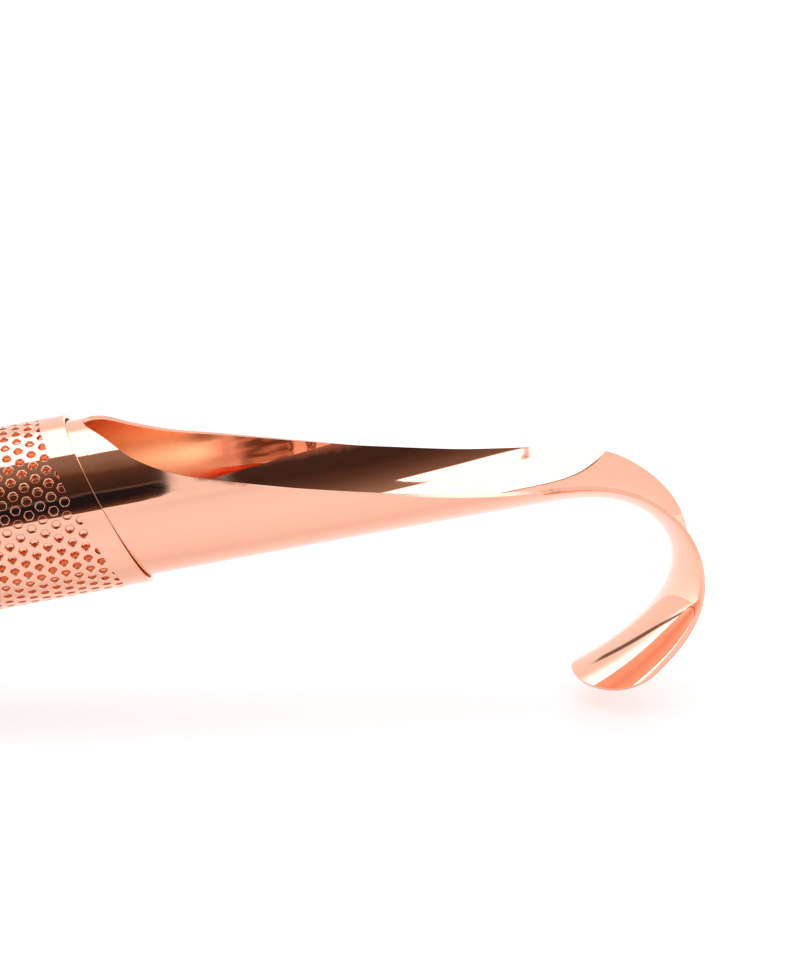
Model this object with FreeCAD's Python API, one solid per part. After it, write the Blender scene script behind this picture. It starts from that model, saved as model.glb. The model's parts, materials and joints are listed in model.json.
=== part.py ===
import FreeCAD, Part
import math
import os

# Stick tea infuser: a perforated sleeve turns on an inner tube, whose end is cut away
# into a trough and curls into a hook.  Millimetres.
#
# Everything is drawn in the tube's own frame and then tilted into the resting pose:
#   X runs along the tube's axis towards the hook, from the middle of the sleeve's oblique edge
#   Z is the tube's upper side, where the trough opens; Y is across the tube

# --- driving dimensions -------------------------------------------------------------------

SLEEVE_R = 11.0            # outer radius of the perforated sleeve
TUBE_R = 10.2              # outer radius of the inner tube
SHEET = 0.5                # wall of both tubes
REACH = 89.5               # from the sleeve's closed end to the middle of its oblique edge
EDGE_SLOPE = 0.326         # the oblique edge leans this much along X for each unit of Z

CAP_RECESS = 1.5           # the end cap sits this far inside the sleeve's end
DISC = 0.6                 # thickness of the end cap, end disc and bulkhead
WASHER_R = 4.0
WASHER = 0.5
AXIAL_PLAY = 0.1           # free play each side of the end cap
RIVET_R = 1.5              # shank of the pivot rivet
RUNNING_CLEARANCE = 0.05   # radial clearance round the rivet's shank
RIVET_HEAD_R = 3.0
RIVET_HEAD = 1.0
RIVET_TAIL_R = 2.6
RIVET_TAIL = 0.8

WINDOW_HALF_ANGLE = 75.0   # half the angle that each window opens round its tube
WINDOW_CORNER = 6.0        # radius at the bottom corners of a window
WINDOW_START = -82.0       # both windows lie between these places along X
WINDOW_END = -26.0
BULKHEAD_X = -21.5         # face of the bulkhead that closes the chamber towards the trough

# The cut that opens the tube into the trough, seen from the side: X and Z on the tube's surface.
# It ends level with the axis, where the formed strip takes over.
TROUGH_CUT = [(-1.5, 10.3), (0.8, 9.2), (4.0, 6.8), (8.6, 4.45), (14.3, 2.6), (19.0, 1.15), (22.8, 0.0)]
STRIP_X = TROUGH_CUT[-1][0]

# The strip's underside runs straight on and then curls down in three arcs: radius and length of arc
BEND_X = 56.2
CURL = [(12.0, 9.6), (8.2, 13.5), (35.0, 13.6)]
CURL_EASE = 1.6            # length over which one curvature eases into the next
TIP_ROUND = 8.6            # length of the half ellipse that rounds the tip

# The strip's section is a circular arc, hollow on its upper side.
# Length from the strip's start, radius of the arc, depth of the hollow.
STATIONS = [(0.0, TUBE_R, TUBE_R), (5.0, TUBE_R, 8.78), (10.0, 10.35, 7.42), (20.0, 11.6, 5.03),
            (27.0, 12.6, 3.88), (33.0, 12.9, 3.22), (38.0, 13.3, 2.75), (43.0, 14.0, 2.3),
            (48.0, 13.5, 2.45), (54.0, 12.8, 2.95), (60.0, 13.9, 3.1), (66.0, 15.1, 3.2), (71.0, 16.6, 3.2)]

# --- working values -----------------------------------------------------------------------

SLEEVE_BORE = SLEEVE_R - SHEET
TUBE_BORE = TUBE_R - SHEET
CAP_X = -REACH + CAP_RECESS
WASHER_X = CAP_X + DISC + AXIAL_PLAY
END_DISC_X = WASHER_X + WASHER
STRIP_LENGTH = BEND_X - STRIP_X + sum(length for radius, length in CURL)
CLEAR = 12.0               # half the width of a cutting tool that passes right across the tubes
STEPS = 720                # steps of the walk along the strip's underside
SECTIONS = 36              # sections of the strip's loft

ACROSS = FreeCAD.Vector(0, 1, 0)
ALONG = FreeCAD.Vector(1, 0, 0)


# --- the strip's line and section ---------------------------------------------------------

def eased_step(s):
    return 1.0 / (1.0 + math.exp(-s / CURL_EASE))


def curvature(s):
    """Curvature of the strip's underside at length s from its start."""
    starts = [BEND_X - STRIP_X]
    for radius, length in CURL[:-1]:
        starts.append(starts[-1] + length)
    total = 0.0
    before = 0.0
    for start, (radius, length) in zip(starts, CURL):
        total += (1.0 / radius - before) * eased_step(s - start)
        before = 1.0 / radius
    return total


def strip_line():
    """The underside's middle line: a list of (length, x, z, downward angle)."""
    step = STRIP_LENGTH / STEPS
    x, z, angle = STRIP_X, -TUBE_R, 0.0
    line = [(0.0, x, z, angle)]
    for index in range(STEPS):
        middle = (index + 0.5) * step
        turn = curvature(middle) * step
        x += step * math.cos(angle + turn / 2)
        z -= step * math.sin(angle + turn / 2)
        angle += turn
        line.append(((index + 1) * step, x, z, angle))
    return line


def station(s):
    """Arc radius and hollow depth at length s, on a smooth curve through STATIONS."""
    last = len(STATIONS) - 1
    left = max(i for i in range(last) if STATIONS[i][0] <= s)
    span = STATIONS[left + 1][0] - STATIONS[left][0]
    t = (s - STATIONS[left][0]) / span
    values = []
    for column in (1, 2):
        slopes = []
        for i in (left, left + 1):
            low, high = max(i - 1, 0), min(i + 1, last)
            rise = STATIONS[high][column] - STATIONS[low][column]
            slopes.append(rise / (STATIONS[high][0] - STATIONS[low][0]))
        a, b = STATIONS[left][column], STATIONS[left + 1][column]
        values.append(a * (1 + 2 * t) * (1 - t) ** 2 + b * t * t * (3 - 2 * t)
                      + slopes[0] * span * t * (1 - t) ** 2 - slopes[1] * span * t * t * (1 - t))
    return values


def strip_section(s, x, z, angle):
    """Closed wire round the sheet where the strip has run s, with its outer and inner arcs."""
    radius, depth = station(s)
    spread = math.acos((radius - depth) / radius)
    inward = FreeCAD.Vector(math.sin(angle), 0, math.cos(angle))
    centre = FreeCAD.Vector(x, 0, z) + inward * radius

    def on_arc(r, a):
        return centre - inward * (r * math.cos(a)) + ACROSS * (r * math.sin(a))

    inner = radius - SHEET
    outer_arc = Part.Arc(on_arc(radius, -spread), on_arc(radius, 0), on_arc(radius, spread))
    inner_arc = Part.Arc(on_arc(inner, spread), on_arc(inner, 0), on_arc(inner, -spread))
    edges = [outer_arc.toShape(),
             Part.LineSegment(on_arc(radius, spread), on_arc(inner, spread)).toShape(),
             inner_arc.toShape(),
             Part.LineSegment(on_arc(inner, -spread), on_arc(radius, -spread)).toShape()]
    return Part.Wire(edges)


# --- simple solids ------------------------------------------------------------------------

def cylinder(radius, x_low, x_high):
    return Part.makeCylinder(radius, x_high - x_low, FreeCAD.Vector(x_low, 0, 0), ALONG)


def ring(outer, inner, x_low, x_high):
    return cylinder(outer, x_low, x_high).cut(cylinder(inner, x_low - 1, x_high + 1))


def across_prism(edges):
    """A prism right across the tubes, from closed side-view edges drawn in the plane Y = 0."""
    face = Part.Face(Part.Wire(edges))
    face.translate(ACROSS * -CLEAR)
    return face.extrude(ACROSS * (2 * CLEAR))


def side_point(x, z):
    return FreeCAD.Vector(x, 0, z)


def window_tool(radius, side):
    """Tool that cuts a window in a tube of this radius, on the side +1 (top) or -1 (bottom)."""
    sill = radius * math.cos(math.radians(WINDOW_HALF_ANGLE))
    r = WINDOW_CORNER
    k = r * (1 - math.sqrt(0.5))
    a, b = WINDOW_START, WINDOW_END
    top = side * CLEAR
    low = side * sill
    rise = side * r
    ease = side * k
    start_corner = Part.Arc(side_point(a, low + rise), side_point(a + k, low + ease),
                            side_point(a + r, low))
    end_corner = Part.Arc(side_point(b - r, low), side_point(b - k, low + ease),
                          side_point(b, low + rise))
    edges = [Part.LineSegment(side_point(a, top), side_point(a, low + rise)).toShape(),
             start_corner.toShape(),
             Part.LineSegment(side_point(a + r, low), side_point(b - r, low)).toShape(),
             end_corner.toShape(),
             Part.LineSegment(side_point(b, low + rise), side_point(b, top)).toShape(),
             Part.LineSegment(side_point(b, top), side_point(a, top)).toShape()]
    return across_prism(edges)


# --- the pieces ---------------------------------------------------------------------------

def trough_tool():
    """Tool that cuts the tube open into the trough."""
    cut = Part.BSplineCurve()
    cut.interpolate([side_point(x, z) for x, z in TROUGH_CUT])
    first, last = TROUGH_CUT[0], TROUGH_CUT[-1]
    past = last[0] + 1
    edges = [cut.toShape(),
             Part.LineSegment(side_point(*last), side_point(past, last[1])).toShape(),
             Part.LineSegment(side_point(past, last[1]), side_point(past, CLEAR)).toShape(),
             Part.LineSegment(side_point(past, CLEAR), side_point(first[0], CLEAR)).toShape(),
             Part.LineSegment(side_point(first[0], CLEAR), side_point(*first)).toShape()]
    return across_prism(edges)


def strip():
    """The formed strip from the trough to the hook's tip."""
    line = strip_line()
    stride = STEPS // SECTIONS
    wires = [strip_section(*place) for place in line[::stride]]
    body = Part.makeLoft(wires, True)
    return body.cut(tip_tool(line))


def tip_tool(line):
    """Tool that trims the strip's square end to a half ellipse."""
    round_start = next(place for place in line if place[0] >= STRIP_LENGTH - TIP_ROUND)
    s, x, z, angle = round_start
    end = line[-1]
    ahead = FreeCAD.Vector(end[1] - x, 0, end[2] - z)
    length = ahead.Length
    ahead.normalize()
    up = ACROSS.cross(ahead) * -1
    radius, depth = station(s)
    half = math.sqrt(2 * radius * depth - depth * depth)
    base = FreeCAD.Vector(x, 0, z) - up * CLEAR
    ellipse = Part.Ellipse(base + ACROSS * half, base + ahead * length, base)
    if half < length:
        raise ValueError("the rounded tip is longer than half the strip's width")
    plan = Part.Face(Part.Wire([ellipse.toShape()]))
    margin = 2.0
    corners = [base - ACROSS * CLEAR, base + ACROSS * CLEAR,
               base + ACROSS * CLEAR + ahead * (length + margin),
               base - ACROSS * CLEAR + ahead * (length + margin)]
    block = Part.Face(Part.makePolygon(corners + corners[:1])).extrude(up * (2 * CLEAR))
    return block.cut(plan.extrude(up * (2 * CLEAR)))


def handle_tube():
    tube = ring(TUBE_R, TUBE_BORE, END_DISC_X, STRIP_X)
    tube = tube.cut(window_tool(TUBE_R, 1))
    tube = tube.cut(trough_tool())
    return tube.fuse(strip()).removeSplitter()


def perforated_sleeve():
    longest = EDGE_SLOPE * SLEEVE_R + 1
    sleeve = ring(SLEEVE_R, SLEEVE_BORE, -REACH, longest)
    lean = EDGE_SLOPE * CLEAR
    beyond = [side_point(lean, -CLEAR), side_point(-lean, CLEAR),
              side_point(2 * CLEAR, CLEAR), side_point(2 * CLEAR, -CLEAR)]
    edges = [Part.LineSegment(a, b).toShape() for a, b in zip(beyond, beyond[1:] + beyond[:1])]
    sleeve = sleeve.cut(across_prism(edges))
    return sleeve.cut(window_tool(SLEEVE_R, -1))


def sleeve_end_cap():
    return ring(SLEEVE_BORE, RIVET_R + RUNNING_CLEARANCE, CAP_X, CAP_X + DISC)


def rivet_washer():
    return ring(WASHER_R, RIVET_R, WASHER_X, END_DISC_X)


def scoop_end_disc():
    return ring(TUBE_BORE, RIVET_R, END_DISC_X, END_DISC_X + DISC)


def chamber_bulkhead():
    return cylinder(TUBE_BORE, BULKHEAD_X, BULKHEAD_X + DISC)


def pivot_rivet():
    head_face = CAP_X - AXIAL_PLAY
    tail_face = END_DISC_X + DISC
    shank = cylinder(RIVET_R, head_face - RIVET_HEAD / 2, tail_face + RIVET_TAIL / 2)
    head = cylinder(RIVET_HEAD_R, head_face - RIVET_HEAD, head_face)
    rim = [edge for edge in head.Edges
           if abs(edge.CenterOfMass.x - (head_face - RIVET_HEAD)) < 0.01 and edge.Closed]
    head = head.makeFillet(0.8 * RIVET_HEAD, rim)
    tail = cylinder(RIVET_TAIL_R, tail_face, tail_face + RIVET_TAIL)
    return shank.fuse(head).fuse(tail).removeSplitter()


# --- the resting pose ---------------------------------------------------------------------

def rim_height(tilt):
    """Height of the lowest point of the sleeve's closed end at a tilt in radians."""
    return -REACH * math.sin(tilt) - SLEEVE_R * math.cos(tilt)


def resting_tilt():
    """Angle in degrees at which the hook and the sleeve's end both touch one floor."""
    line = strip_line()
    hook = []
    for s, x, z, angle in line[STEPS // 2:]:
        depth = station(s)[1]
        hook.append((x, z))
        hook.append((x + math.sin(angle) * depth, z + math.cos(angle) * depth))
    low, high = 0.0, 30.0
    for _ in range(40):
        middle = math.radians((low + high) / 2)
        lowest = min(x * math.sin(middle) + z * math.cos(middle) for x, z in hook)
        if lowest > rim_height(middle):
            high = math.degrees(middle)
        else:
            low = math.degrees(middle)
    return (low + high) / 2


def main():
    pieces = {"handle_tube": handle_tube(),
              "chamber_bulkhead": chamber_bulkhead(),
              "scoop_end_disc": scoop_end_disc(),
              "perforated_sleeve": perforated_sleeve(),
              "sleeve_end_cap": sleeve_end_cap(),
              "pivot_rivet": pivot_rivet(),
              "rivet_washer": rivet_washer()}
    tilt = resting_tilt()
    for shape in pieces.values():
        shape.rotate(FreeCAD.Vector(0, 0, 0), ACROSS, -tilt)
    box = FreeCAD.BoundBox()
    for shape in pieces.values():
        box.add(shape.optimalBoundingBox(False, False))
    shift = FreeCAD.Vector(-box.Center.x, -box.Center.y, -rim_height(math.radians(tilt)))
    os.makedirs("parts", exist_ok=True)
    for name, shape in pieces.items():
        shape.translate(shift)
        solid = shape.Solids[0] if len(shape.Solids) == 1 else shape
        solid.exportStep("parts/" + name + ".step")
        print(name, solid.ShapeType, solid.isValid(), len(solid.Faces), round(solid.Volume, 2))
    print("tilt", round(tilt, 4), "shift", shift, "size", box.XLength, box.YLength, box.ZLength)


main()
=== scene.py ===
import json
import math

import bmesh
import bpy
import numpy as np
from mathutils import Matrix, Vector


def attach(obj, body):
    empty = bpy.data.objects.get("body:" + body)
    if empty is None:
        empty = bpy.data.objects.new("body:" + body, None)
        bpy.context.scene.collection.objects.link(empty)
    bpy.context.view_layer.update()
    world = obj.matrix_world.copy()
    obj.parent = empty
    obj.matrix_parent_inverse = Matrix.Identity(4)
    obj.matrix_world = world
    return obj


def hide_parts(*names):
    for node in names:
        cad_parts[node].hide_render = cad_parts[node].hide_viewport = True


# Looks of the stick tea infuser.  Lengths are in millimetres in the tube's own frame until
# place() turns them into metres in the part's frame:
#   X along the tube's axis towards the hook, from the middle of the sleeve's oblique edge
#   Z on the tube's upper side, Y across the tube

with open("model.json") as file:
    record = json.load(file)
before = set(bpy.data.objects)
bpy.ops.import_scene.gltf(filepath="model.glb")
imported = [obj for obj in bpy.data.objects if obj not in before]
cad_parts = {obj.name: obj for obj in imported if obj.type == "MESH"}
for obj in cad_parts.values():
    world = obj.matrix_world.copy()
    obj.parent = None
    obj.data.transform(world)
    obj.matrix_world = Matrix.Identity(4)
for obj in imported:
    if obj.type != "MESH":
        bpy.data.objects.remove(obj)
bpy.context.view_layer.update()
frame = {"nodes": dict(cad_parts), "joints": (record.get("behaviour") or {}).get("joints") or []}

MM = 0.001

# --- sizes, as in the CAD model -------------------------------------------------------------

SLEEVE_R = 11.0
TUBE_R = 10.2
SHEET = 0.5
REACH = 89.5
EDGE_SLOPE = 0.326
TUBE_START = -86.8
WINDOW_HALF_ANGLE = 75.0
WINDOW_CORNER = 6.0
WINDOW_START = -82.0
WINDOW_END = -26.0
TROUGH_CUT = [(-1.5, 10.3), (0.8, 9.2), (4.0, 6.8), (8.6, 4.45), (14.3, 2.6), (19.0, 1.15), (22.8, 0.0)]
STRIP_X = TROUGH_CUT[-1][0]
BEND_X = 56.2
CURL = [(12.0, 9.6), (8.2, 13.5), (35.0, 13.6)]
CURL_EASE = 1.6
TIP_ROUND = 8.6
RIM_BEVEL = 0.14           # every sharp edge of the handle is rounded this far back
STATIONS = [(0.0, TUBE_R, TUBE_R), (5.0, TUBE_R, 8.78), (10.0, 10.35, 7.42), (20.0, 11.6, 5.03),
            (27.0, 12.6, 3.88), (33.0, 12.9, 3.22), (38.0, 13.3, 2.75), (43.0, 14.0, 2.3),
            (48.0, 13.5, 2.45), (54.0, 12.8, 2.95), (60.0, 13.9, 3.1), (66.0, 15.1, 3.2), (71.0, 16.6, 3.2)]
STRIP_LENGTH = BEND_X - STRIP_X + sum(length for radius, length in CURL)

# --- perforation ----------------------------------------------------------------------------

HOLES_ROUND = 40           # holes in one ring
RING_SPACING = 1.4964      # between rings along the axis; every other ring is half a pitch round
HOLE_R = 0.56              # of the hole itself
CHAMFER_R = 0.66           # of its bright chamfer, at the sleeve's surface
CHAMFER_DEPTH = 0.1
EDGE_MARGIN = 3.0          # plain band beside the oblique edge; holes are cut off along its line
FIRST_RING_X = 5.47        # where the rings start, past the oblique edge
LATTICE_TURN = 0.2         # lattice phase round the axis, in pitches
WINDOW_MARGIN = 1.6        # plain band round the window
END_MARGIN = 4.5           # plain band at the closed end
OVERSHOOT = 0.12           # the holes' cutting tools reach past the sheet this far outside
UNDERSHOOT = 0.15          # and this far inside
LEAST_SHARE = 0.6          # a hole centred more radii than this past the margin is left out

joint = next(j for j in frame["joints"] if j["name"] == "sleeve_turn")
ORIGIN = Vector(joint["pos_m"])
AXIS = Vector(joint["axis"]).normalized()
ACROSS = Vector((0, 1, 0))
UP = AXIS.cross(ACROSS)


def place(x, y, z):
    """A point of the tube's frame, in millimetres, as a point of the part's frame in metres."""
    return ORIGIN + (AXIS * x + ACROSS * y + UP * z) * MM


def on_tube(x, radius, angle):
    """A point on a cylinder round the tube's axis. Angle 0 is the bottom, 180 degrees the top."""
    return place(x, radius * math.sin(angle), -radius * math.cos(angle))


# --- mesh helpers ---------------------------------------------------------------------------

def new_object(name, verts, faces, smooth=True):
    mesh = bpy.data.meshes.new(name)
    mesh.from_pydata([tuple(v) for v in verts], [], faces)
    mesh.validate()
    obj = bpy.data.objects.new(name, mesh)
    bpy.context.scene.collection.objects.link(obj)
    if smooth:
        mesh.shade_smooth()
    return obj


def apply_modifiers(obj):
    """Replaces the object's mesh by its evaluated mesh."""
    graph = bpy.context.evaluated_depsgraph_get()
    mesh = bpy.data.meshes.new_from_object(obj.evaluated_get(graph))
    old = obj.data
    obj.modifiers.clear()
    obj.data = mesh
    mesh.name = old.name + "_mesh"
    bpy.data.meshes.remove(old)


def boolean(obj, tool, operation="DIFFERENCE"):
    cut = obj.modifiers.new("cut", "BOOLEAN")
    cut.operation = operation
    cut.solver = "MANIFOLD"
    cut.object = tool
    apply_modifiers(obj)
    bpy.data.objects.remove(tool)


def face_outward(obj):
    """Makes a closed mesh's faces look outward."""
    work = bmesh.new()
    work.from_mesh(obj.data)
    bmesh.ops.recalc_face_normals(work, faces=work.faces)
    work.to_mesh(obj.data)
    work.free()


def through_knots(knots, x, column=1):
    """Height at x on a smooth curve through knots, which are in order of their first value."""
    last = len(knots) - 1
    left = max((i for i in range(last) if knots[i][0] <= x), default=0)
    span = knots[left + 1][0] - knots[left][0]
    t = (x - knots[left][0]) / span
    slopes = []
    for i in (left, left + 1):
        low, high = max(i - 1, 0), min(i + 1, last)
        slopes.append((knots[high][column] - knots[low][column]) / (knots[high][0] - knots[low][0]))
    a, b = knots[left][column], knots[left + 1][column]
    return (a * (1 + 2 * t) * (1 - t) ** 2 + b * t * t * (3 - 2 * t)
            + slopes[0] * span * t * (1 - t) ** 2 - slopes[1] * span * t * t * (1 - t))


def side_prism(name, outline, half_width):
    """A closed prism right across the tube from its side-view outline of (x, z) points."""
    count = len(outline)
    verts = [place(x, side * half_width, z) for side in (-1, 1) for x, z in outline]
    faces = [list(range(count)), list(range(2 * count - 1, count - 1, -1))]
    for i in range(count):
        j = (i + 1) % count
        faces.append([j, i, count + i, count + j])
    prism = new_object(name, verts, faces, smooth=False)
    face_outward(prism)
    return prism


def window_outline(radius, side, grow=0.0, steps=10):
    """Side view of a window on the side +1 (top) or -1 (bottom), grown by some millimetres."""
    sill = radius * math.cos(math.radians(WINDOW_HALF_ANGLE)) - grow
    a, b, r = WINDOW_START - grow, WINDOW_END + grow, WINDOW_CORNER + grow
    top = 2 * radius
    points = [(a, side * top)]
    for i in range(steps + 1):
        turn = math.pi / 2 * i / steps
        points.append((a + r - r * math.cos(turn), side * (sill + r - r * math.sin(turn))))
    for i in range(steps + 1):
        turn = math.pi / 2 * i / steps
        points.append((b - r + r * math.sin(turn), side * (sill + r - r * math.cos(turn))))
    points.append((b, side * top))
    return points


# --- materials ------------------------------------------------------------------------------

def node_material(name):
    material = bpy.data.materials.new(name)
    material.use_nodes = True
    nodes, links = material.node_tree.nodes, material.node_tree.links
    shader = nodes["Principled BSDF"]
    return material, nodes, links, shader


ROSE_GOLD = (0.99, 0.545, 0.395, 1.0)
RIM_GOLD = (0.95, 0.5, 0.36, 1.0)
BORE_GOLD = (0.99, 0.62, 0.4, 1.0)
HOLE_GOLD = (0.98, 0.69, 0.5, 1.0)
LINE_TINT = (0.985, 0.93, 0.9)     # what the polishing lines do to the metal's colour
LINE_RELIEF = 0.25                 # their height against the waviness
WAVE_SCALE = 260.0                 # of the waviness, per metre
TUBE_LINES = (90, 1500, 1500)      # scale of the lines along, across and up from the tube
RIM_LINES = (2600, 200, 200)       # filed across the rim
POLISH_START = 7.0                 # the tube's inside is unpolished up to here along X
POLISH_FULL = 17.0                 # and fully polished from here on
SATIN = 0.3                        # roughness of the unpolished inside


def copper(name, color, roughness, line_scale, bump_height, fades=False):
    """Rose-gold plating with faint polishing lines and slight waviness.

    If it fades, the polish gives way to satin on going into the tube.
    """
    material, nodes, links, shader = node_material(name)
    shader.inputs["Metallic"].default_value = 1.0
    coords = nodes.new("ShaderNodeTexCoord")
    straight = nodes.new("ShaderNodeMapping")
    straight.inputs["Rotation"].default_value = (0, math.asin(AXIS.z), 0)
    links.new(coords.outputs["Object"], straight.inputs["Vector"])
    along = nodes.new("ShaderNodeMapping")
    along.inputs["Scale"].default_value = line_scale
    links.new(straight.outputs["Vector"], along.inputs["Vector"])
    lines = nodes.new("ShaderNodeTexNoise")
    lines.inputs["Scale"].default_value = 1.0
    lines.inputs["Detail"].default_value = 6.0
    lines.inputs["Roughness"].default_value = 0.65
    links.new(along.outputs["Vector"], lines.inputs["Vector"])
    tint = nodes.new("ShaderNodeMix")
    tint.data_type = "RGBA"
    tint.inputs["A"].default_value = color
    tint.inputs["B"].default_value = [c * k for c, k in zip(color[:3], LINE_TINT)] + [1.0]
    links.new(lines.outputs["Fac"], tint.inputs["Factor"])
    links.new(tint.outputs["Result"], shader.inputs["Base Color"])
    rough = nodes.new("ShaderNodeMapRange")
    rough.inputs["From Min"].default_value = 0.3
    rough.inputs["From Max"].default_value = 0.75
    rough.inputs["To Min"].default_value = roughness * 0.7
    rough.inputs["To Max"].default_value = roughness * 1.4
    links.new(lines.outputs["Fac"], rough.inputs["Value"])
    links.new(rough.outputs["Result"], shader.inputs["Roughness"])
    if fades:
        fade_to_satin(nodes, links, shader, straight, tint, rough)
    waves = nodes.new("ShaderNodeTexNoise")
    waves.inputs["Scale"].default_value = WAVE_SCALE
    waves.inputs["Detail"].default_value = 1.0
    links.new(coords.outputs["Object"], waves.inputs["Vector"])
    height = nodes.new("ShaderNodeMath")
    height.operation = "MULTIPLY_ADD"
    height.inputs[1].default_value = LINE_RELIEF
    links.new(lines.outputs["Fac"], height.inputs[0])
    links.new(waves.outputs["Fac"], height.inputs[2])
    bump = nodes.new("ShaderNodeBump")
    bump.inputs["Strength"].default_value = 1.0
    bump.inputs["Distance"].default_value = bump_height
    links.new(height.outputs["Value"], bump.inputs["Height"])
    links.new(bump.outputs["Normal"], shader.inputs["Normal"])
    return material


def fade_to_satin(nodes, links, shader, straight, tint, rough):
    """Blends colour and roughness into those of the unpolished bore, going into the tube."""
    split = nodes.new("ShaderNodeSeparateXYZ")
    links.new(straight.outputs["Vector"], split.inputs["Vector"])
    inside = nodes.new("ShaderNodeMapRange")
    inside.interpolation_type = "SMOOTHSTEP"
    start = ORIGIN.dot(AXIS)
    inside.inputs["From Min"].default_value = start + POLISH_START * MM
    inside.inputs["From Max"].default_value = start + POLISH_FULL * MM
    inside.inputs["To Min"].default_value = 1.0
    inside.inputs["To Max"].default_value = 0.0
    links.new(split.outputs["X"], inside.inputs["Value"])
    bore = nodes.new("ShaderNodeMix")
    bore.data_type = "RGBA"
    bore.inputs["B"].default_value = BORE_GOLD
    links.new(inside.outputs["Result"], bore.inputs["Factor"])
    links.new(tint.outputs["Result"], bore.inputs["A"])
    links.new(bore.outputs["Result"], shader.inputs["Base Color"])
    satin = nodes.new("ShaderNodeMix")
    satin.data_type = "FLOAT"
    satin.inputs["B"].default_value = SATIN
    links.new(inside.outputs["Result"], satin.inputs["Factor"])
    links.new(rough.outputs["Result"], satin.inputs["A"])
    links.new(satin.outputs["Result"], shader.inputs["Roughness"])


tube_copper = copper("tube_copper", ROSE_GOLD, 0.018, TUBE_LINES, 0.0000015)
sleeve_copper = copper("sleeve_copper", ROSE_GOLD, 0.022, TUBE_LINES, 0.0000015)
rim_copper = copper("rim_copper", RIM_GOLD, 0.2, RIM_LINES, 0.00006)
bore_copper = copper("bore_copper", ROSE_GOLD, 0.018, TUBE_LINES, 0.0000015, fades=True)
hole_copper = copper("hole_copper", HOLE_GOLD, 0.3, (3000, 3000, 3000), 0.000002)
satin_copper = copper("satin_copper", BORE_GOLD, SATIN, (900, 900, 900), 0.000002)


def brushed_steel():
    """Plain steel of the washer, with a fine grain in its roughness."""
    material, nodes, links, shader = node_material("washer_steel")
    shader.inputs["Metallic"].default_value = 1.0
    shader.inputs["Base Color"].default_value = (0.62, 0.6, 0.58, 1.0)
    grain = nodes.new("ShaderNodeTexNoise")
    grain.inputs["Scale"].default_value = 4000.0
    rough = nodes.new("ShaderNodeMapRange")
    rough.inputs["To Min"].default_value = 0.22
    rough.inputs["To Max"].default_value = 0.42
    coords = nodes.new("ShaderNodeTexCoord")
    links.new(coords.outputs["Object"], grain.inputs["Vector"])
    links.new(grain.outputs["Fac"], rough.inputs["Value"])
    links.new(rough.outputs["Result"], shader.inputs["Roughness"])
    return material


# --- handle tube, trough and hook -----------------------------------------------------------

def curvature(s):
    """Curvature of the strip's underside at length s from its start."""
    start, before, total = BEND_X - STRIP_X, 0.0, 0.0
    for radius, length in CURL:
        total += (1.0 / radius - before) / (1.0 + math.exp(-(s - start) / CURL_EASE))
        before = 1.0 / radius
        start += length
    return total


def strip_places(lengths):
    """(x, z, downward angle) of the strip's underside at each of the given lengths."""
    step = 0.05
    x, z, angle, s = STRIP_X, -TUBE_R, 0.0, 0.0
    places = []
    for target in lengths:
        while s < target - 1e-9:
            stride = min(step, target - s)
            turn = curvature(s + stride / 2) * stride
            x += stride * math.cos(angle + turn / 2)
            z -= stride * math.sin(angle + turn / 2)
            angle += turn
            s += stride
        places.append((x, z, angle))
    return places


def handle_rows():
    """Rows along the handle: centre x and z, downward angle, radius and half the arc's angle."""
    rows = []
    closed = 30
    for i in range(closed):
        rows.append((TUBE_START + (TROUGH_CUT[0][0] - TUBE_START) * i / closed, 0, 0, TUBE_R, math.pi))
    opening = 44
    for i in range(opening):
        x = TROUGH_CUT[0][0] + (STRIP_X - TROUGH_CUT[0][0]) * (i / opening) ** 1.6
        height = through_knots(TROUGH_CUT, x)
        rows.append((x, 0, 0, TUBE_R, math.acos(max(-1.0, -height / TUBE_R))))
    straight = 150
    tip = 26
    round_start = STRIP_LENGTH - TIP_ROUND
    lengths = [round_start * i / straight for i in range(straight)]
    shares = [math.sin(math.pi / 2 * 0.985 * i / tip) for i in range(tip + 1)]
    lengths += [round_start + TIP_ROUND * share for share in shares]
    for s, (x, z, angle) in zip(lengths, strip_places(lengths)):
        radius = through_knots(STATIONS, s, 1)
        depth = through_knots(STATIONS, s, 2)
        share = max(0.0, (s - round_start) / TIP_ROUND)
        spread = math.acos((radius - depth) / radius)
        if share > 0:
            spread = math.asin(math.sin(spread) * math.sqrt(1 - share * share))
        rows.append((x + radius * math.sin(angle), z + radius * math.cos(angle), angle, radius, spread))
    return rows


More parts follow.
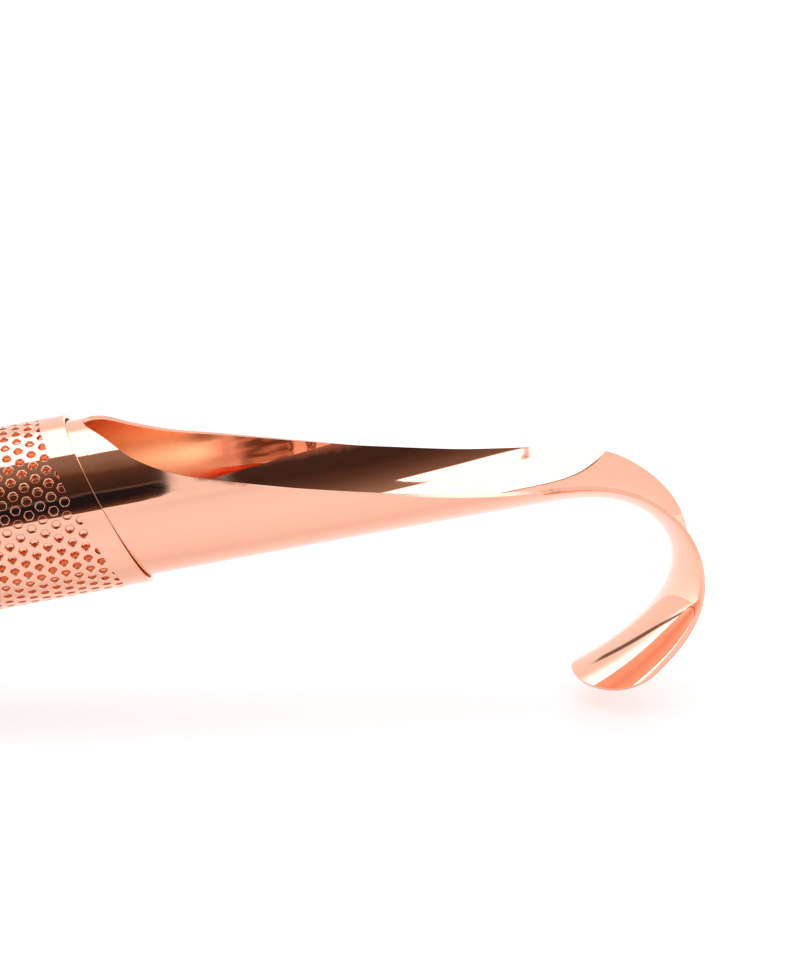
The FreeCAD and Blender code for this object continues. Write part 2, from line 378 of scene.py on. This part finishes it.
def make_handle():
    """The inner tube, trough and hook: one sheet, thickened inwards, with a window cut in it."""
    columns = 128
    verts = []
    rows = handle_rows()
    for x, z, angle, radius, spread in rows:
        for j in range(columns + 1):
            a = spread * (2 * j / columns - 1)
            inward = -radius * math.cos(a)
            verts.append(place(x + inward * math.sin(angle), radius * math.sin(a),
                               z + inward * math.cos(angle)))
    width = columns + 1
    faces = [[i * width + j, i * width + j + 1, (i + 1) * width + j + 1, (i + 1) * width + j]
             for i in range(len(rows) - 1) for j in range(columns)]
    handle = new_object("handle", verts, faces)
    work = bmesh.new()
    work.from_mesh(handle.data)
    bmesh.ops.remove_doubles(work, verts=work.verts, dist=0.000002)
    bmesh.ops.recalc_face_normals(work, faces=work.faces)
    work.faces.ensure_lookup_table()
    first = work.faces[columns // 2]
    if first.normal.dot(UP) > 0:
        bmesh.ops.reverse_faces(work, faces=work.faces)
    work.to_mesh(handle.data)
    work.free()
    wall = handle.modifiers.new("wall", "SOLIDIFY")
    wall.thickness = SHEET * MM
    wall.offset = -1.0
    wall.use_even_offset = True
    for material in (tube_copper, rim_copper, bore_copper):
        handle.data.materials.append(material)
    wall.material_offset_rim = 1
    wall.material_offset = 2
    apply_modifiers(handle)
    boolean(handle, side_prism("window_tool", window_outline(TUBE_R, 1), 2 * TUBE_R))
    edge = handle.modifiers.new("edge", "BEVEL")
    edge.width = RIM_BEVEL * MM
    edge.segments = 3
    edge.limit_method = "ANGLE"
    edge.angle_limit = math.radians(50)
    edge.harden_normals = True
    apply_modifiers(handle)
    handle.data.shade_smooth()
    return handle


# --- perforated sleeve ----------------------------------------------------------------------

def edge_x(z):
    """Where the sleeve's oblique edge is along X, at height z."""
    return -EDGE_SLOPE * z


def make_sleeve():
    """The perforated sleeve: two walls joined at both ends, then the window and the holes cut."""
    segments = HOLES_ROUND * 6
    last_ring = 6              # the rings of vertices stop this far short of the oblique edge
    rings = [-REACH + i * RING_SPACING for i in range(int((REACH - last_ring) / RING_SPACING))]
    verts = []
    bore = SLEEVE_R - SHEET
    for radius in (SLEEVE_R, bore):
        for i in range(len(rings) + 1):
            for j in range(segments):
                angle = 2 * math.pi * j / segments
                x = rings[i] if i < len(rings) else edge_x(-radius * math.cos(angle))
                verts.append(on_tube(x, radius, angle))
    faces = []
    rows = len(rings) + 1
    inner = rows * segments
    for i in range(rows - 1):
        for j in range(segments):
            k = (j + 1) % segments
            a, b = i * segments + j, i * segments + k
            d, c = a + segments, b + segments
            faces.append([a, b, c, d])
            faces.append([inner + d, inner + c, inner + b, inner + a])
    for row in (0, rows - 1):
        for j in range(segments):
            k = (j + 1) % segments
            a, b = row * segments + j, row * segments + k
            ring = [a, b, inner + b, inner + a]
            faces.append(ring if row else ring[::-1])
    sleeve = new_object("sleeve", verts, faces, smooth=False)
    face_outward(sleeve)
    boolean(sleeve, side_prism("window_tool", window_outline(SLEEVE_R, -1), 2 * SLEEVE_R))
    boolean(sleeve, hole_tools())
    sleeve.data.materials.clear()
    for material in (sleeve_copper, hole_copper):
        sleeve.data.materials.append(material)
    radial_normals(sleeve, SLEEVE_R, bore)
    return sleeve


def hole_loop():
    """Unit outline of a hole: a hexagon with a corner along the axis and each corner eased."""
    turn, reach = 9, 0.97      # each corner is two points, turned this far from it and drawn in
    angles = [math.radians(60 * corner + side * turn) for corner in range(6) for side in (-1, 1)]
    return [(reach * math.cos(angle), reach * math.sin(angle)) for angle in angles]


def in_window(x, angle):
    """True if a hole there would touch the window or the plain band round it."""
    low, high = WINDOW_START - WINDOW_MARGIN, WINDOW_END + WINDOW_MARGIN
    sill_angle = math.radians(WINDOW_HALF_ANGLE) + WINDOW_MARGIN / SLEEVE_R
    away = abs((angle + math.pi) % (2 * math.pi) - math.pi)
    return low < x < high and away < sill_angle


def hole_tools():
    """All the holes' cutting tools as one object, cut off along the oblique edge's margin."""
    outline = hole_loop()
    flare = (CHAMFER_R - HOLE_R) / CHAMFER_DEPTH
    levels = [(SLEEVE_R - SHEET - UNDERSHOOT, HOLE_R), (SLEEVE_R - CHAMFER_DEPTH, HOLE_R),
              (SLEEVE_R + OVERSHOOT, CHAMFER_R + flare * OVERSHOOT)]
    verts, faces = [], []
    count = len(outline)
    rings = 1 + int((REACH - END_MARGIN + FIRST_RING_X) / RING_SPACING)
    for ring in range(rings):
        x = FIRST_RING_X - ring * RING_SPACING
        for i in range(HOLES_ROUND):
            turn = (i + LATTICE_TURN + 0.5 * (ring % 2)) * 2 * math.pi / HOLES_ROUND
            limit = edge_x(-SLEEVE_R * math.cos(turn)) - EDGE_MARGIN
            if x > limit + HOLE_R * LEAST_SHARE or in_window(x, turn):
                continue
            base = len(verts)
            radial = ACROSS * math.sin(turn) - UP * math.cos(turn)
            tangent = ACROSS * math.cos(turn) + UP * math.sin(turn)
            middle = ORIGIN + AXIS * x * MM
            for height, radius in levels:
                for a, b in outline:
                    verts.append(middle + (radial * height + AXIS * radius * a + tangent * radius * b) * MM)
            faces.append([base + k for k in range(count)][::-1])
            top = base + (len(levels) - 1) * count
            faces.append([top + k for k in range(count)])
            for level in range(len(levels) - 1):
                low = base + level * count
                for k in range(count):
                    n = (k + 1) % count
                    faces.append([low + k, low + n, low + count + n, low + count + k])
    tools = new_object("hole_tools", verts, faces, smooth=False)
    face_outward(tools)
    far = 3 * SLEEVE_R
    start = -EDGE_MARGIN
    outline = [(start + edge_x(-far), -far), (start + edge_x(far), far), (far, far), (far, -far)]
    boolean(tools, side_prism("margin_tool", outline, far))
    return tools


def radial_normals(obj, outer, bore):
    """Shades both walls of a tube as true cylinders; all but the outer wall get the second material."""
    mesh = obj.data
    mesh.shade_smooth()
    to_tube = Matrix((AXIS, ACROSS, UP))
    co = np.empty(len(mesh.vertices) * 3)
    mesh.vertices.foreach_get("co", co)
    local = (co.reshape(-1, 3) - np.array(ORIGIN)) @ np.array(to_tube).T / MM
    radius = np.hypot(local[:, 1], local[:, 2])
    radial = np.zeros_like(local)
    radial[:, 1:] = local[:, 1:] / radius[:, None]
    radial = radial @ np.array(to_tube)
    near = 0.01                # millimetres within which a vertex lies on a wall
    normals = []
    for polygon in mesh.polygons:
        ids = np.array(polygon.vertices)
        flat = np.array(polygon.normal)
        if np.all(np.abs(radius[ids] - outer) < near):
            normals.extend(radial[ids])
            continue
        polygon.material_index = 1
        if np.all(np.abs(radius[ids] - bore) < near):
            normals.extend(-radial[ids])
        else:
            normals.extend([flat] * len(ids))
    mesh.normals_split_custom_set([tuple(n) for n in normals])


# --- build ----------------------------------------------------------------------------------

handle = make_handle()
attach(handle, "handle")
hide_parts("handle_tube")

sleeve = make_sleeve()
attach(sleeve, "sleeve")
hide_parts("perforated_sleeve")


def paint(node, material):
    """Gives a piece of the CAD model its material."""
    obj = frame["nodes"][node]
    obj.data.materials.clear()
    obj.data.materials.append(material)


for node in ("sleeve_end_cap", "pivot_rivet"):
    paint(node, tube_copper)
for node in ("chamber_bulkhead", "scoop_end_disc"):
    paint(node, satin_copper)
paint("rivet_washer", brushed_steel())


# --- floor, light and camera ----------------------------------------------------------------

def make_floor():
    half = 4.0                 # metres
    floor = new_object("floor", [(-half, -half, 0), (half, -half, 0), (half, half, 0), (-half, half, 0)],
                       [[0, 1, 2, 3]], smooth=False)
    material, nodes, links, shader = node_material("floor_white")
    shader.inputs["Base Color"].default_value = (0.5, 0.5, 0.5, 1.0)
    shader.inputs["Roughness"].default_value = 0.3
    shader.inputs["Emission Color"].default_value = (1.0, 0.985, 0.985, 1.0)
    shader.inputs["Emission Strength"].default_value = 0.5
    floor.data.materials.append(material)


# The studio, as the polished metal mirrors it.  A direction is given by x, the slope of its unit
# vector along the tube, and by its angle in degrees over the top of the tube from the front.
# A pair tells where an edge starts and ends.

LEFT_END = (-0.018, -0.0115)       # of the left dark part along the tube, meeting its foot in a curve
LEFT_FOOT = (5.0, 14.0)
LEFT_SILL = (4.0, 6.0)
LEFT_TOP = (83.0, 85.0)
LEFT_START = (-0.25, -0.15)

RIGHT_STEP = (56.0, 62.0)          # the right dark part starts later above this step
STEP_FROM, STEP_TO = -0.006, 0.0018
RAGGED = 0.005                     # how far the streaks move its start
RAGGED_EDGE = (-0.0003, 0.0003)
SILL_SLOPE, SILL_AT_START = -2250.0, 6.0
SILL_EDGE = (-1.5, 1.5)
LINTEL = (0.012, 0.045)            # its top comes down from the back to just in front of overhead
LINTEL_FROM, LINTEL_TO = 178.0, 88.5
NOTCH = (0.078, 0.088)             # and then drops by the notch
NOTCH_DEPTH = 15.0
LINTEL_EDGE = (-1.0, 1.0)
RIGHT_END = (0.22, 0.3)

# Colours of the dark parts from their foot, 0, to their top, 1
LEFT_ROOM = [(0.0, (0.2, 0.1, 0.06)), (0.06, (0.17, 0.085, 0.05)), (0.11, (0.05, 0.024, 0.02)),
             (0.17, (0.017, 0.014, 0.018)), (0.29, (0.014, 0.013, 0.016)), (0.31, (0.13, 0.1, 0.09)),
             (0.34, (0.045, 0.028, 0.022)), (0.5, (0.07, 0.04, 0.026)), (0.6, (0.1, 0.058, 0.034)),
             (0.66, (0.19, 0.125, 0.083)), (0.8, (0.275, 0.207, 0.157)), (1.0, (0.34, 0.27, 0.21))]
RIGHT_ROOM = [(0.0, (0.4, 0.17, 0.1)), (0.08, (0.2, 0.1, 0.07)), (0.16, (0.055, 0.035, 0.028)),
              (0.4, (0.05, 0.03, 0.023)), (0.6, (0.1, 0.06, 0.042)), (0.78, (0.2, 0.14, 0.1)),
              (1.0, (0.36, 0.29, 0.23))]
ROOM_FOOT, ROOM_HEIGHT = 5.0, 90.0
STREAK_SHIFT = 10.0                # degrees that the streaks move these colours by
MIDDLE = (-0.01, -0.004)           # between the left and the right colours
SHELF_START = (-0.001, 0.003)      # past overhead, the right part is crossed by shelves
SHELF_FOOT = (85.0, 100.0)
SHELF_STREAK = (0.42, 0.58)
SHELF_DARK, SHELF_BRIGHT = (0.11, 0.07, 0.045), (0.6, 0.43, 0.34)
STREAK_SCALE = (260.0, 3.0, 3.0)

WHITE = (1.0, 1.0, 0.99)
LIGHT_WHITE = (2.3, 2.25, 2.6)
FRAME_BROWN = (0.12, 0.08, 0.06)
PANEL_START = (0.012, 0.016)
PANEL_FRONT = (-0.33, -0.29)       # y over z
PANEL_SLANT = 1.9                  # the far edge: y over z, plus this much of x over z
PANEL_FAR = (1.19, 1.22)
FRAME_MIDDLE = 1.225
FRAME_WIDTH = (0.015, 0.045)
FRAME_FOOT = (95.0, 110.0)
FRAME_FADE = (0.5, 0.8)            # x over z
FRAME_STRENGTH = 0.85
LINE_SLANT, LINE_HEIGHT = 43.0, 165.0
LINE_WIDTH = (1.5, 3.5)
LINE_END = (-0.3, -0.25)
LINE_STRENGTH = 0.9
STRIP_END = (-0.011, -0.008)
STRIP_STEP = (-0.0195, -0.0185)
STRIP_FOOT_LEFT, STRIP_FOOT_RIGHT = 84.5, 60.0
STRIP_EDGE = (-1.0, 1.0)
STRIP_TOP = (125.0, 142.0)


class Shading:
    """Short forms for the maths nodes of one node tree."""

    def __init__(self, tree):
        self.nodes, self.links = tree.nodes, tree.links

    def feed(self, socket, value):
        if isinstance(value, (int, float)):
            socket.default_value = value
        else:
            self.links.new(value, socket)

    def math(self, operation, *values):
        node = self.nodes.new("ShaderNodeMath")
        node.operation = operation
        for socket, value in zip(node.inputs, values):
            self.feed(socket, value)
        return node.outputs["Value"]

    def ramp(self, value, low, high, out_low=0.0, out_high=1.0, kind="SMOOTHSTEP"):
        node = self.nodes.new("ShaderNodeMapRange")
        node.interpolation_type = kind
        numbers = {"From Min": low, "From Max": high, "To Min": out_low, "To Max": out_high}
        for name, number in numbers.items():
            self.feed(node.inputs[name], number)
        self.feed(node.inputs["Value"], value)
        return node.outputs["Result"]

    def fall(self, value, low, high, kind="SMOOTHSTEP"):
        """A ramp down from 1 to 0."""
        return self.ramp(value, low, high, 1.0, 0.0, kind)

    def product(self, first, *others):
        for other in others:
            first = self.math("MULTIPLY", first, other)
        return first

    def apart(self, first, second):
        return self.math("ABSOLUTE", self.math("SUBTRACT", first, second))


def studio_directions(shade):
    """Each direction's slope along the tube, and its angle in degrees over the top from the front."""
    coords = shade.nodes.new("ShaderNodeTexCoord")
    turn = shade.nodes.new("ShaderNodeMapping")
    turn.vector_type = "POINT"
    turn.inputs["Rotation"].default_value = (0, math.asin(AXIS.z), 0)
    shade.links.new(coords.outputs["Generated"], turn.inputs["Vector"])
    split = shade.nodes.new("ShaderNodeSeparateXYZ")
    shade.links.new(turn.outputs["Vector"], split.inputs["Vector"])
    x, y, z = (split.outputs[name] for name in "XYZ")
    back = shade.math("MULTIPLY", y, -1.0)
    angle = shade.math("MULTIPLY", shade.math("ARCTAN2", z, back), math.degrees(1.0))
    return turn.outputs["Vector"], x, y, z, angle


def unlit_room(shade, x, angle, streak):
    """How much of each direction is the unlit room: two dark parts with a bright gap between."""
    side = shade.ramp(x, *LEFT_END, kind="LINEAR")
    foot = shade.fall(angle, *LEFT_FOOT, kind="LINEAR")
    reach = shade.math("ADD", shade.math("POWER", side, 2.0), shade.math("POWER", foot, 2.0))
    left = shade.product(shade.fall(reach, 0.9, 1.0), shade.ramp(x, *LEFT_START),
                         shade.fall(angle, *LEFT_TOP), shade.ramp(angle, *LEFT_SILL))
    start = shade.math("MULTIPLY_ADD", streak, RAGGED, shade.math("SUBTRACT", x, RAGGED / 2))
    start = shade.math("SUBTRACT", start, shade.ramp(angle, *RIGHT_STEP, STEP_FROM, STEP_TO))
    sill = shade.math("MAXIMUM", shade.math("MULTIPLY_ADD", x, SILL_SLOPE, SILL_AT_START), 0.0)
    lintel = shade.ramp(x, *LINTEL, LINTEL_FROM, LINTEL_TO)
    lintel = shade.math("SUBTRACT", lintel, shade.ramp(x, *NOTCH, 0.0, NOTCH_DEPTH))
    right = shade.product(shade.ramp(start, *RAGGED_EDGE),
                          shade.ramp(shade.math("SUBTRACT", angle, sill), *SILL_EDGE),
                          shade.ramp(shade.math("SUBTRACT", lintel, angle), *LINTEL_EDGE),
                          shade.fall(x, *RIGHT_END))
    return shade.math("MAXIMUM", left, right)


def color_stops(shade, value, stops):
    """A colour that runs through stops, each a position and a colour."""
    ramp = shade.nodes.new("ShaderNodeValToRGB")
    elements = ramp.color_ramp.elements
    for index, (position, color) in enumerate(stops):
        element = elements[index] if index < 2 else elements.new(position)
        element.position = position
        element.color = (*color, 1.0)
    shade.links.new(value, ramp.inputs["Fac"])
    return ramp.outputs["Color"]


def blend(shade, factor, first, second):
    """Mixes two colours, each a tuple or a socket."""
    mix = shade.nodes.new("ShaderNodeMix")
    mix.data_type = "RGBA"
    for name, value in (("A", first), ("B", second)):
        if isinstance(value, tuple):
            mix.inputs[name].default_value = (*value, 1.0)
        else:
            shade.links.new(value, mix.inputs[name])
    shade.links.new(factor, mix.inputs["Factor"])
    return mix.outputs["Result"]


def room_color(shade, x, angle, streak):
    """Colour of the unlit room: nearly black at table height, brown and lighter above."""
    height = shade.math("MULTIPLY_ADD", streak, STREAK_SHIFT, shade.math("SUBTRACT", angle, ROOM_FOOT))
    height = shade.math("DIVIDE", height, ROOM_HEIGHT)
    left = color_stops(shade, height, LEFT_ROOM)
    right = color_stops(shade, height, RIGHT_ROOM)
    room = blend(shade, shade.ramp(x, *MIDDLE), left, right)
    far_side = shade.product(shade.ramp(x, *SHELF_START), shade.ramp(angle, *SHELF_FOOT))
    shelves = blend(shade, shade.ramp(streak, *SHELF_STREAK), SHELF_DARK, SHELF_BRIGHT)
    return blend(shade, far_side, room, shelves)


def overhead_lights(shade, x, y, z, angle):
    """Where the lights are: a four-sided panel and a strip.  And where two dark lines cross them."""
    above = shade.math("MAXIMUM", z, 0.001)
    across = shade.math("DIVIDE", x, above)
    away = shade.math("DIVIDE", y, above)
    beyond = shade.math("MULTIPLY_ADD", across, PANEL_SLANT, away)
    panel = shade.product(shade.ramp(x, *PANEL_START), shade.ramp(away, *PANEL_FRONT),
                          shade.fall(beyond, *PANEL_FAR))
    frame_line = shade.product(shade.fall(shade.apart(beyond, FRAME_MIDDLE), *FRAME_WIDTH),
                               shade.ramp(angle, *FRAME_FOOT),
                               shade.ramp(across, *FRAME_FADE, FRAME_STRENGTH, 0.0),
                               shade.ramp(x, *PANEL_START))
    slant = shade.math("MULTIPLY_ADD", x, LINE_SLANT, LINE_HEIGHT)
    line = shade.product(shade.ramp(shade.apart(slant, angle), *LINE_WIDTH, LINE_STRENGTH, 0.0),
                         shade.fall(x, *LINE_END))
    foot = shade.ramp(x, *STRIP_STEP, STRIP_FOOT_LEFT, STRIP_FOOT_RIGHT)
    strip = shade.product(shade.fall(x, *STRIP_END),
                          shade.ramp(shade.math("SUBTRACT", angle, foot), *STRIP_EDGE),
                          shade.fall(angle, *STRIP_TOP))
    return shade.math("MAXIMUM", panel, strip), shade.math("MAXIMUM", frame_line, line)


def streak_noise(shade, direction):
    """Noise that changes quickly along the tube and slowly round it."""
    stretch = shade.nodes.new("ShaderNodeMapping")
    stretch.inputs["Scale"].default_value = STREAK_SCALE
    shade.links.new(direction, stretch.inputs["Vector"])
    streaks = shade.nodes.new("ShaderNodeTexNoise")
    streaks.inputs["Scale"].default_value = 1.0
    streaks.inputs["Detail"].default_value = 3.0
    shade.links.new(stretch.outputs["Vector"], streaks.inputs["Vector"])
    return streaks.outputs["Fac"]


def make_world():
    """A white studio with overhead lights, an unlit room on the camera side, and a white backdrop."""
    world = bpy.data.worlds.new("studio")
    bpy.context.scene.world = world
    world.use_nodes = True
    shade = Shading(world.node_tree)
    nodes, links = shade.nodes, shade.links
    direction, x, y, z, angle = studio_directions(shade)
    streak = streak_noise(shade, direction)
    lit, lines = overhead_lights(shade, x, y, z, angle)
    studio = blend(shade, lines, blend(shade, lit, WHITE, LIGHT_WHITE), FRAME_BROWN)
    room = blend(shade, unlit_room(shade, x, angle, streak), studio, room_color(shade, x, angle, streak))
    background = nodes["Background"]
    links.new(room, background.inputs["Color"])
    backdrop = nodes.new("ShaderNodeBackground")
    backdrop.inputs["Color"].default_value = (1.0, 1.0, 1.0, 1.0)
    path = nodes.new("ShaderNodeLightPath")
    mix = nodes.new("ShaderNodeMixShader")
    links.new(path.outputs["Is Camera Ray"], mix.inputs["Fac"])
    links.new(background.outputs["Background"], mix.inputs[1])
    links.new(backdrop.outputs["Background"], mix.inputs[2])
    links.new(mix.outputs["Shader"], nodes["World Output"].inputs["Surface"])


CAMERA_TURNS = (-1.73, 18.55, -9.95)     # yaw, pitch and roll in degrees, in the tube's frame
CAMERA_TARGET = (34.67, 0.0, -5.54)
CAMERA_DISTANCE = 674.15
CAMERA_LENS = 202.7


def make_camera():
    yaw, pitch, roll = (math.radians(turn) for turn in CAMERA_TURNS)
    back = Vector((math.sin(yaw) * math.cos(pitch), -math.cos(yaw) * math.cos(pitch), math.sin(pitch)))
    level = Vector((math.cos(yaw), math.sin(yaw), 0))
    above = back.cross(level)
    right = level * math.cos(roll) + above * math.sin(roll)
    upward = above * math.cos(roll) - level * math.sin(roll)
    to_part = Matrix((AXIS, ACROSS, UP)).transposed()
    turn = Matrix((to_part @ right, to_part @ upward, to_part @ back)).transposed()
    camera = bpy.data.objects.new("camera", bpy.data.cameras.new("camera"))
    camera.data.lens = CAMERA_LENS
    camera.data.sensor_width = 36.0
    camera.data.clip_end = 20.0
    seat = place(*[t + CAMERA_DISTANCE * b for t, b in zip(CAMERA_TARGET, back)])
    camera.matrix_world = Matrix.Translation(seat) @ turn.to_4x4()
    bpy.context.scene.collection.objects.link(camera)
    bpy.context.scene.camera = camera


make_floor()
make_world()
make_camera()
bpy.context.scene.view_settings.view_transform = "Standard"
bpy.context.scene.cycles.max_bounces = 16
bpy.context.scene.cycles.glossy_bounces = 12
